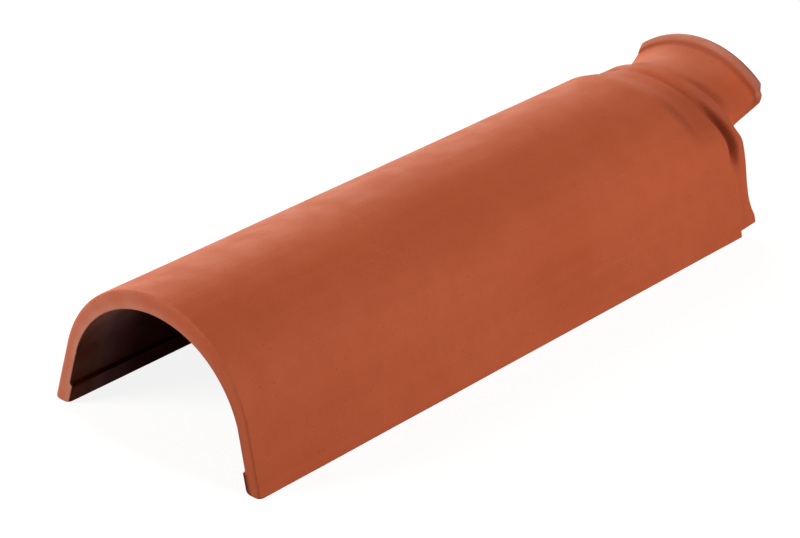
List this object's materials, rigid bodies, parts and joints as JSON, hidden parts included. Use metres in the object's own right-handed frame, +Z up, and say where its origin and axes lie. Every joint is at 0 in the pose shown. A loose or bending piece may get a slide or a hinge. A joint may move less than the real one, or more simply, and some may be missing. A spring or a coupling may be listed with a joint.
{
  "type": "curved eave tile",
  "caption": "Half-round clay cover tile for an eave, with a hollow underside, two long feet and a necked head with a flared collar that the next tile laps over.",
  "frame": {"origin": "middle of the tile's length and width, on the plane under its feet", "axes": "+Y along the tile from its open front end to its collar, +Z up through the crown, X across"},
  "size_m": [0.152, 0.48, 0.0925],
  "materials": {
    "terracotta": "matte fired clay"
  },
  "bodies": {
    "root": {"eave_tile": "terracotta"}
  },
  "joints": []
}
